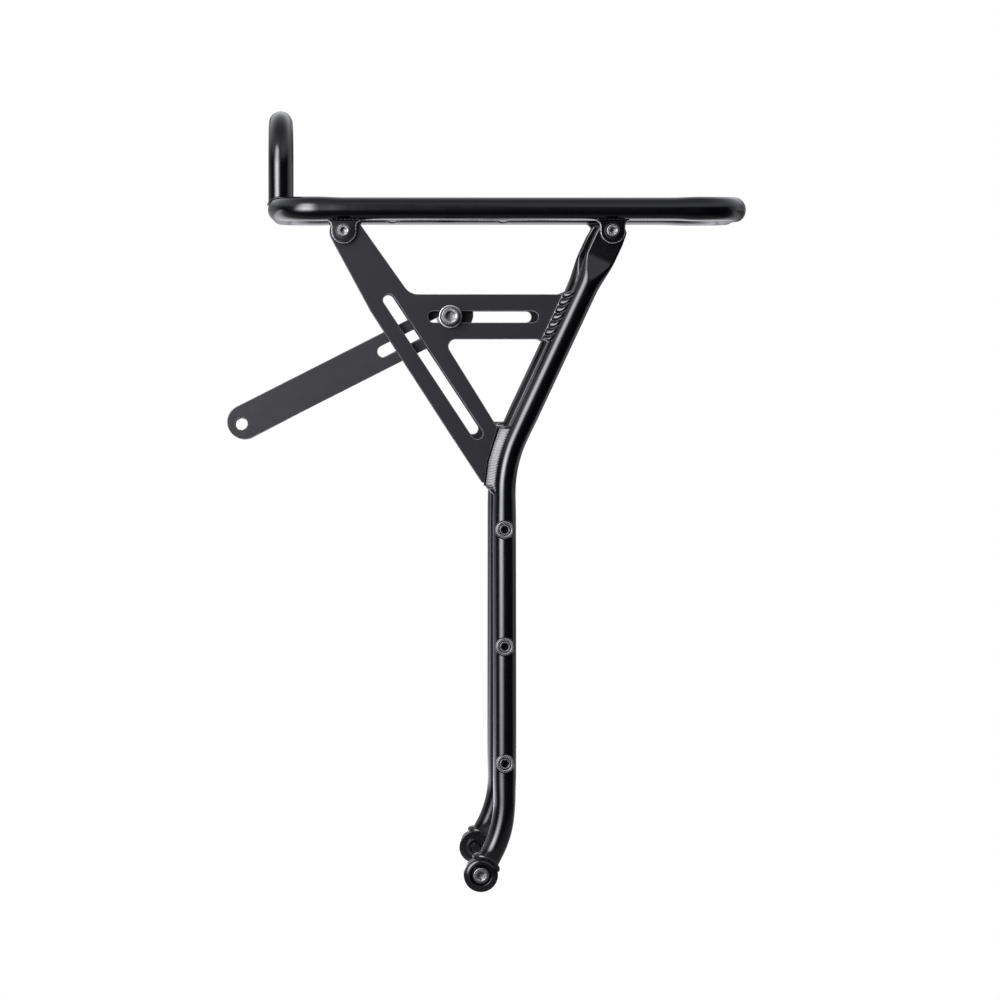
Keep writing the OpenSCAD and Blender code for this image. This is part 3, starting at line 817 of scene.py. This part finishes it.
def boss_heights():
    return [BOSS_Z + i * BOSS_PITCH for i in (-1, 0, 1)]


def leg(name, side):
    shape = Shape(leaning(side))
    path = leg_path()
    shape.sweep(path, lambda p: Vector((p.x, 0, p.y)), (0, 1, 0),
                lambda i, bent: leg_section(path[i][0], bent))
    holes = Shape(leaning(side))
    for x, z, r, inner_y, outer_y in (*((LEG_X, z, 4.0, -1.5, 12.0) for z in boss_heights()),
                                      (TAB_X[1], TAB_H, TAB_HOLE_R, -5.0, 5.0)):
        holes.turn(x, z, [(inner_y, 0.0), (inner_y, r), (outer_y, r), (outer_y, 0.0)])
    finish_piece("leg_tube_" + name, shape, "rack_frame", TUBE, ["leg_" + name],
                 holes=holes)


def leg_bosses(name, side):
    shape = Shape(leaning(side))
    thread_heights = [-1.4 + 8.2 * k / 89 for k in range(90)]
    lining = [(y, thread(2.5, 0.8, y)) for y in thread_heights] + [(6.8, 2.9), (-1.4, 2.9)]
    for z in boss_heights():
        # Fillets between these radii get the lightened edge colour, scuffed paint and a painted highlight
        shape.collar(LEG_X, z, [(2.1, -1.45, 0.2), (3.9, -1.45, 0.3), (3.9, 2.4, 0), (5.35, 2.4, 0),
                                (5.35, 7.0, 0.4), (4.8, 7.0, 0.1), (4.65, 8.05, 0.62), (3.4, 8.05, 0.62),
                                (3.25, 7.1, 0), (2.95, 7.1, 0), (2.85, 7.75, 0.32), (2.15, 7.75, 0.32),
                                (2.1, 7.0, 0)], count=72, rubbed_and_highlit=(2.0, 4.72))
        shape.turn(LEG_X, z, lining, closed=True, count=40)
    finish_piece("leg_threaded_bosses_" + name, shape, "rack_frame", FITTING,
                 ["leg_bosses_" + name])


def foot(name, side):
    shape = Shape(upright(side))
    back = [(2.75, -FOOT_HALF, 0.3), (4.9, -FOOT_HALF, 0.1), (5.1, -4.5, 0.1), (6.6, -4.5, 0.1),
            (6.8, -FOOT_HALF, 0.1), (FOOT_R, -FOOT_HALF, 0.6), (FOOT_R, 4.15, 0.5)]
    crown = [(8.2, 4.15, 0.1), (8.05, 4.5, 0.15), (7.3, 4.85, 1.2), (6.3, FOOT_HALF, 1.2),
             (5.55, 4.8, 0.6)]
    sunk_face = [(5.3, 4.3, 0.3), (5.2, FOOT_SEAT, 0.25), (2.75, FOOT_SEAT, 0.15)]
    shape.collar(0, 0, back + crown + sunk_face, count=96, rubbed_and_highlit=(0.0, 0.0))
    finish_piece("foot_eyelet_" + name, shape, "rack_frame", FITTING,
                 ["foot_boss_" + name])
    beads = Shape(leaning(side))
    c, s = math.cos(FOOT_SLOPE), math.sin(FOOT_SLOPE)
    ring = []
    for t in angles(96):
        u, v = 6.2 * math.cos(t), 5.0 * math.sin(t)
        a = math.sqrt((FOOT_R + 0.4) ** 2 - u * u)
        ring.append((a * s + u * c, v, a * c - u * s))

    def bead_r(f):
        """Thicker at the rear and thickest at the front of the leg."""
        rear = math.cos(2 * math.pi * f)
        return 1.0 + max(0.3 * rear, -1.2 * rear) ** 2

    beads.bead(ring, (8.5 * s, 0, 8.5 * c), bead_r, ripple=0.06)
    ear_r, ear_y = FOOT_R + 0.2, 1.5
    ear = [(ear_r * math.cos(math.radians(a)), ear_y, ear_r * math.sin(math.radians(a)))
           for a in range(8, 52, 4)]
    beads.bead(ear, (0, ear_y, 0), 1.4, ripple=0.0, closed=False)
    finish_piece("foot_weld_" + name, beads, "rack_frame", WELD, [])


def foot_screws():
    screws = []
    for _, side in SIDES:
        screws.append(Shape(upright(side)))
        cap_screw(screws[-1], 0, 0, FOOT_SEAT, length=16.0, size=M5, socket=4.0, threaded=8.0, pitch=0.8)
    finish_piece("foot_cap_screws", merge(screws), "rack_frame", SCREW, ["foot_screws"])


def axis_x(z):
    """x of the leg's centreline at height z above its lower bend."""
    above = z - UPPER_BEND_Z
    if above <= -UPPER_RUN:
        return LEG_X
    if above >= UPPER_RUN * math.cos(UPPER_SLOPE):
        return LEG_X + above * math.tan(UPPER_SLOPE)
    return LEG_X + UPPER_BEND_R - math.sqrt(UPPER_BEND_R ** 2 - (above + UPPER_RUN) ** 2)


PLATE_TOP = TAB_H + 5.9
# The plate's outline: x, z and radius of each corner, anticlockwise from the top of the front edge
PLATE_CORNERS = [
    (-80.6, 346.6, 3), (-60.2, 308.8, 12), (-15.9, 240.2, 0), (2.0, 212.9, 1), (2.7, 217.5, 0),
    (3.7, 226.2, 0), (6.2, 234.6, 0), (9.4, 245.0, 1.5), (-20.6, BAR_BOTTOM, 4), (33.2, BAR_BOTTOM, 0.8),
    (axis_x(BAR_TOP) - WELD_GAP / math.cos(UPPER_SLOPE), BAR_TOP, 0.8), (-38.6, BAR_TOP, 9),
    (TAB_X[0] + 7.7, PLATE_TOP, 1),
]


def side_plate(name, side):
    shape = Shape(leaning(side))
    end = [math.radians(48 + 159 * k / 20) for k in range(21)]
    corners = PLATE_CORNERS + [(TAB_X[0] + PLATE_END_R * math.cos(t),
                                min(TAB_H + PLATE_END_R * math.sin(t), PLATE_TOP), 0) for t in end]
    loops = [[p for p, _ in outline(corners, 9.0)], circle(TAB_X[0], TAB_H, TAB_HOLE_R, 32),
             slot(*LEVEL_SLOT, SLOT_R), slot(*DIAGONAL_SLOT, SLOT_R)]
    shape.slab(loops, -PLATE_HALF, PLATE_HALF, bevel=0.4)
    finish_piece("side_plate_cut_" + name, shape, "rack_frame", PLATE,
                 ["side_plate_" + name])


def weld_run(shape, heights, left, right, profile, pitch, ripple, bow):
    """Weld metal between a plate's edge and the leg, on both faces, laid in overlapping crescents."""
    rings = []
    root = PLATE_HALF - 0.25
    across = [(k / 28) ** 1.3 for k in range(29)]
    for z in heights:
        edge = smooth(min(z - heights[0], heights[-1] - z) / 2.0 + 0.1)
        half = []
        for w in across:
            wave = scallop((z - bow * (2 * w - 0.9) ** 2) / pitch)
            y = mix(root, profile(w), mix(0.55, 1.0, edge))
            y += ripple * wave * smooth((w - 0.12) / 0.15) * smooth((1.05 - w) / 0.3) * edge
            half.append((mix(left(z), right(z), w), y))
        rings.append([(x, y, z) for x, y in half] + [(x, -y, z) for x, y in reversed(half)])
    shape.loft(rings)


def plate_welds(name, side):
    shape = Shape(leaning(side))
    slope = math.cos(UPPER_SLOPE)

    def bar_end(z):
        """The weld's free edge: over the bar's end, drawn in to the leg above and below it."""
        t = min(1.0, 1 - (BAR_BOTTOM - z) / 3.0, 1 - (z - BAR_TOP) / 4.0)
        return axis_x(z) - mix(5.4, WELD_GAP + 0.3, t * t) / slope

    upper = [mix(BAR_BOTTOM - 3.0, BAR_TOP + 4.0, k / 180) for k in range(181)]
    weld_run(shape, upper, bar_end, lambda z: axis_x(z) - 4.6 / slope,
             level_curve([(0, 1.75), (0.1, 2.5), (0.2, 2.6), (1, 3.9)]), 4.1, 1.0, 2.2)
    edge = PLATE_CORNERS[3:8]

    def plate_edge(z):
        """The weld's free edge: the leg's front below the plate, and then just inside the plate."""
        if z <= edge[0][1]:
            return mix(axis_x(z) - 5.2, edge[0][0] + 0.5, smooth((z - 206.5) / 7.0))
        for a, b in zip(edge, edge[1:]):
            if z <= b[1]:
                return mix(a[0], b[0], (z - a[1]) / (b[1] - a[1])) - 0.3
        return edge[-1][0] - 0.3

    lower = [mix(207.0, 245.6, k / 160) for k in range(161)]
    weld_run(shape, lower, plate_edge, lambda z: axis_x(z) - 4.7,
             level_curve([(0, 1.75), (0.08, 2.75), (0.15, 2.45), (1, 3.75)]), 1.5, 0.11, 1.2)
    finish_piece("plate_weld_runs_" + name, shape, "rack_frame", WELD,
                 ["plate_welds_" + name], sharp=60)


# ---- Stays and their clamps ----

CLAMP_GAP = 0.03  # sliding faces stand this far apart


def clamp(name, side):
    body = "clamp_" + name
    place = leaning(side)
    screw, head_washer, inner_washer, hex_nut, spacer = (Shape(place) for _ in range(5))
    head_seat, nut_seat = 3.6, -10.9
    plate_out, plate_in = PLATE_HALF + CLAMP_GAP, -PLATE_HALF - CLAMP_GAP
    stay_out, stay_in = STAY_OUTER_Y + CLAMP_GAP, STAY_INNER_Y - CLAMP_GAP
    cap_screw(screw, CLAMP_X, SLOT_Z, head_seat, length=22.0, size=M6, socket=5.0, threaded=9.0,
              pitch=1.0)
    washer(head_washer, CLAMP_X, SLOT_Z, plate_out, head_seat, 6.3, 3.2, lip=0.7)
    washer(inner_washer, CLAMP_X, SLOT_Z, nut_seat, stay_in, 6.3, 3.2)
    nut(hex_nut, CLAMP_X, SLOT_Z, nut_seat - 6.0, nut_seat, flats=10.0, bore=M6[0])
    spacer.collar(CLAMP_X, SLOT_Z, [(3.05, stay_out, 0.15), (6.0, stay_out, 0.3), (6.0, -5.0, 0),
                                    (5.8, -4.8, 0), (5.8, -3.9, 0), (6.0, -3.7, 0),
                                    (6.0, plate_in, 0.3), (3.05, plate_in, 0.15)], count=64)
    for piece, label, riding, material, slot_name, stands_for in (
            (screw, "clamp_cap_screw_", body, SCREW, "screw_steel", "clamp_screw_"),
            (head_washer, "clamp_head_washer_", body, WASHER, "washer_steel", "clamp_washer_"),
            (inner_washer, "stay_back_washer_", body, WASHER, "washer_steel", "stay_inner_washer_"),
            (hex_nut, "clamp_hex_nut_", body, NUT, "nut_steel", "clamp_nut_"),
            (spacer, "stay_spacer_ring_", "swivel_" + name, FITTING, "fitting_black", "stay_spacer_")):
        finish_piece(label + name, piece, riding, material, [stands_for + name])


def stay(name, side):
    slope, reach = math.radians(STAY_SLOPE[name]), STAY_REACH[name]

    def at(distance):
        """A point on the stay's middle line, at a distance from the clamp screw."""
        return (CLAMP_X - distance * math.cos(slope), SLOT_Z - distance * math.sin(slope))

    shape = Shape(leaning(side))
    # Its faces get a little of the lightened edge colour, scuffed paint and a painted highlight
    shape.slab([slot(at(reach - STAY_END_STEP), at(reach - STAY_SLOT_FAR), STAY_HALF_W, 28),
                circle(*at(reach), STAY_HOLE_R),
                slot(at(reach - STAY_SLOT_NEAR), at(reach - STAY_SLOT_FAR), SLOT_R)],
               STAY_INNER_Y, STAY_OUTER_Y, bevel=0.35, rubbed_and_highlit=0.08)
    finish_piece("flat_stay_" + name, shape, "stay_" + name, PLATE, ["stay_" + name])


deck_hoop()
front_hoop()
cross_tubes()
deck_tabs()
tab_fasteners()
for side_name, side_sign in SIDES:
    leg(side_name, side_sign)
    leg_bosses(side_name, side_sign)
    foot(side_name, side_sign)
    side_plate(side_name, side_sign)
    plate_welds(side_name, side_sign)
    clamp(side_name, side_sign)
    stay(side_name, side_sign)
foot_screws()

# ---- Stage: pale floor, soft studio surround, camera ----

scene = bpy.context.scene
scene.view_settings.view_transform = "Standard"

# The key light, in degrees round from the camera and in metres
KEY_AZIMUTH, KEY_DISTANCE, KEY_HALF_WIDTH, KEY_POWER = -29.0, 1.2, 0.72, 20.0
KEY_LOW, KEY_HIGH = -0.25, 1.55
# Dim panels: degrees round from the camera, lowest and highest direction, power, half width in degrees
PANELS = ((104, -0.25, 0.5, 0.55, 30), (-125, -0.25, 0.5, 0.25, 34), (180, 0.35, 0.75, 0.45, 60))
FLOOR_HALF, FLOOR_DROP = 6.0, 0.0005
LENS_MM, SENSOR_MM = 188.0, 36.0
CAMERA_PLACE = (-0.0583, -2.93, 0.3025)
CAMERA_AIM = (0.024124, 1.0, -0.034080)


def axes(tree, coordinates):
    """The x, y and z sockets of one of the texture coordinates."""
    split = node(tree, "ShaderNodeSeparateXYZ")
    tree.links.new(node(tree, "ShaderNodeTexCoord").outputs[coordinates], split.inputs[0])
    return split.outputs


def white_to_camera(tree, lit, white):
    """The lit shader for every ray but the camera's own, which gets the white one."""
    pick = node(tree, "ShaderNodeMixShader")
    for start, end in ((node(tree, "ShaderNodeLightPath").outputs["Is Camera Ray"], pick.inputs[0]),
                       (lit.outputs[0], pick.inputs[1]), (white.outputs[0], pick.inputs[2])):
        tree.links.new(start, end)
    return pick


def stage_sheet(name, half_x, corners, paint):
    """A flat glowing sheet; corners are its two (y, z) edges, and paint makes its material's shader."""
    (y0, z0), (y1, z1) = corners
    mesh = bpy.data.meshes.new(name)
    mesh.from_pydata([(-half_x, y0, z0), (half_x, y0, z0), (half_x, y1, z1), (-half_x, y1, z1)], [],
                     [(0, 1, 2, 3)])
    ob = linked_object(name, mesh)
    mat = bpy.data.materials.new(name + "_glow")
    tree = empty_tree(mat)
    out = node(tree, "ShaderNodeOutputMaterial")
    tree.links.new(paint(tree).outputs[0], out.inputs["Surface"])
    mesh.materials.append(mat)
    return ob


def glow(tree, strength, colour):
    """A light-giving shader of one colour and a varying strength."""
    shader = node(tree, "ShaderNodeEmission", in_Color=(*colour, 1.0))
    tree.links.new(strength, shader.inputs["Strength"])
    return shader


def surround():
    """White to the camera; to the object, dim soft panels, a soft ceiling and a paler band behind."""
    world = bpy.data.worlds.new("studio")
    scene.world = world
    tree = empty_tree(world)
    x, y, z = axes(tree, "Generated")
    total = ramp(tree, y, 0.0, 0.5, 0.02, 0.35)
    for azimuth, low, high, power, wide in PANELS:
        a = math.radians(azimuth)
        toward = math_node(tree, "ADD", product(tree, x, math.sin(a)), product(tree, y, -math.cos(a)))
        near, far = math.cos(math.radians(wide)), math.cos(math.radians(wide / 4))
        panel = product(tree, ramp(tree, toward, near, far, 0.0, power),
                        product(tree, ramp(tree, z, low - 0.15, low, 0.0, 1.0),
                                ramp(tree, z, high, high + 0.2, 1.0, 0.0)))
        total = math_node(tree, "ADD", total, panel)
    ceiling = product(tree, ramp(tree, z, 0.16, 0.5, 0.0, 1.0), ramp(tree, z, 0.6, 1.0, 1.0, 0.45))
    total = math_node(tree, "ADD", total, ceiling)
    lit = node(tree, "ShaderNodeBackground", in_Color=(0.93, 0.94, 1.0, 1.0))
    tree.links.new(total, lit.inputs["Strength"])
    white = node(tree, "ShaderNodeBackground", in_Color=(1, 1, 1, 1), in_Strength=1.0)
    out = node(tree, "ShaderNodeOutputWorld")
    tree.links.new(white_to_camera(tree, lit, white).outputs[0], out.inputs["Surface"])


def key_light(tree):
    """Brightest left of the middle, dimmer low down and faded towards the top and the right."""
    x, _, z = axes(tree, "Object")
    w = KEY_HALF_WIDTH
    fade = ramp(tree, x, 0.0, w, 1.0, 0.0)
    across = product(tree, ramp(tree, x, -w, -0.1 * w, 0.0, 1.0), product(tree, fade, fade))
    lower = ramp(tree, z, 0.1, 0.36, 0.37, 1.0)
    upper = product(tree, ramp(tree, z, 0.42, 0.72, 1.0, 0.68), ramp(tree, z, 1.1, KEY_HIGH, 1.0, 0.0))
    up = product(tree, lower, upper)
    return glow(tree, product(tree, across, up, KEY_POWER), (0.95, 0.95, 1.0))


def soft_box():
    """The key light: a tall glowing sheet to the left of the camera."""
    ob = stage_sheet("soft_box", KEY_HALF_WIDTH, ((0, KEY_LOW), (0, KEY_HIGH)), key_light)
    a = math.radians(KEY_AZIMUTH)
    ob.location = (KEY_DISTANCE * math.sin(a), -KEY_DISTANCE * math.cos(a), 0.0)
    ob.rotation_euler = (0, 0, a)
    ob.visible_camera = False


def floor_glow(tree):
    """White to the camera; to the object, dark in front and bright just behind it."""
    x, y, _ = axes(tree, "Object")
    depth = math_node(tree, "ADD", ramp(tree, y, -0.42, 0.05, 0.02, 0.4),
                      ramp(tree, y, 0.0, 0.2, 0.0, 3.2))
    depth = product(tree, depth, ramp(tree, y, 0.35, 1.0, 1.0, 0.2), ramp(tree, x, 0.2, 0.5, 1.0, 0.25))
    white = node(tree, "ShaderNodeEmission", in_Strength=1.0)
    return white_to_camera(tree, glow(tree, depth, (0.93, 0.92, 1.0)), white)


def floor():
    """A plain pale floor, which glows softly under and behind the rack."""
    z = cad_box[0].z - FLOOR_DROP
    stage_sheet("floor", FLOOR_HALF, ((-FLOOR_HALF, z), (FLOOR_HALF, z)), floor_glow)


def camera():
    data = bpy.data.cameras.new("camera")
    data.lens, data.sensor_width = LENS_MM, SENSOR_MM
    data.clip_start, data.clip_end = 0.05, 50.0
    ob = linked_object("camera", data)
    ob.location = CAMERA_PLACE
    ob.rotation_mode = "QUATERNION"
    ob.rotation_quaternion = Vector(CAMERA_AIM).to_track_quat("-Z", "Y")
    scene.camera = ob


surround()
soft_box()
floor()
camera()
